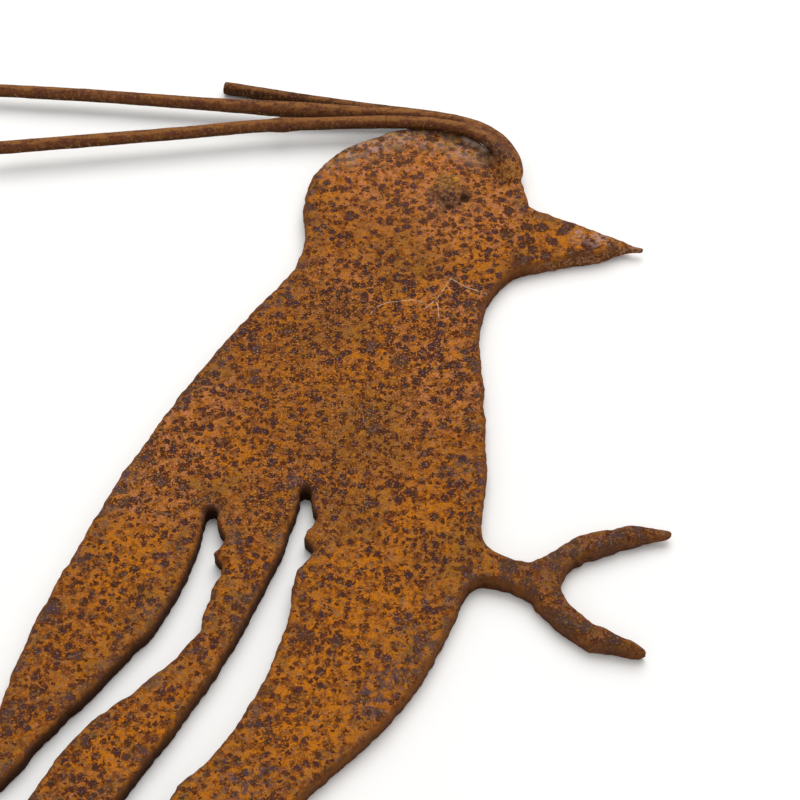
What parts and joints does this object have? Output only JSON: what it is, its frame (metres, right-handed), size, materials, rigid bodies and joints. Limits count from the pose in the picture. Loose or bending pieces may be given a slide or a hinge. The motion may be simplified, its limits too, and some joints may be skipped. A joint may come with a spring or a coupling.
{
  "type": "metal woodpecker ornament",
  "caption": "Flat rusted steel woodpecker cut from sheet, with a pointed beak, forked foot, slotted wing and tail feathers, a weld eye and a crest of welded rods.",
  "frame": {"origin": "under the middle of the whole ornament, on the surface that its flat back lies on", "axes": "+X towards the beak's side, +Y from the tail towards the crown, +Z out of the front face"},
  "size_m": [0.1512, 0.2384, 0.0077],
  "materials": {
    "freckled_rust": "weathered steel with a matt orange rust coat, thickly freckled with dark purple-brown scale",
    "brown_rust": "drawn steel rod with a thin even coat of matt brown rust",
    "weld_rust": "uneven weld metal under olive-brown rust, a little smoother than the sheet"
  },
  "bodies": {
    "root": {"bird_sheet": "freckled_rust", "eye_bead": "weld_rust", "crest_rod_front": "brown_rust", "crest_rod_middle": "brown_rust", "crest_rod_short": "brown_rust", "crest_weld": "weld_rust"}
  },
  "joints": []
}
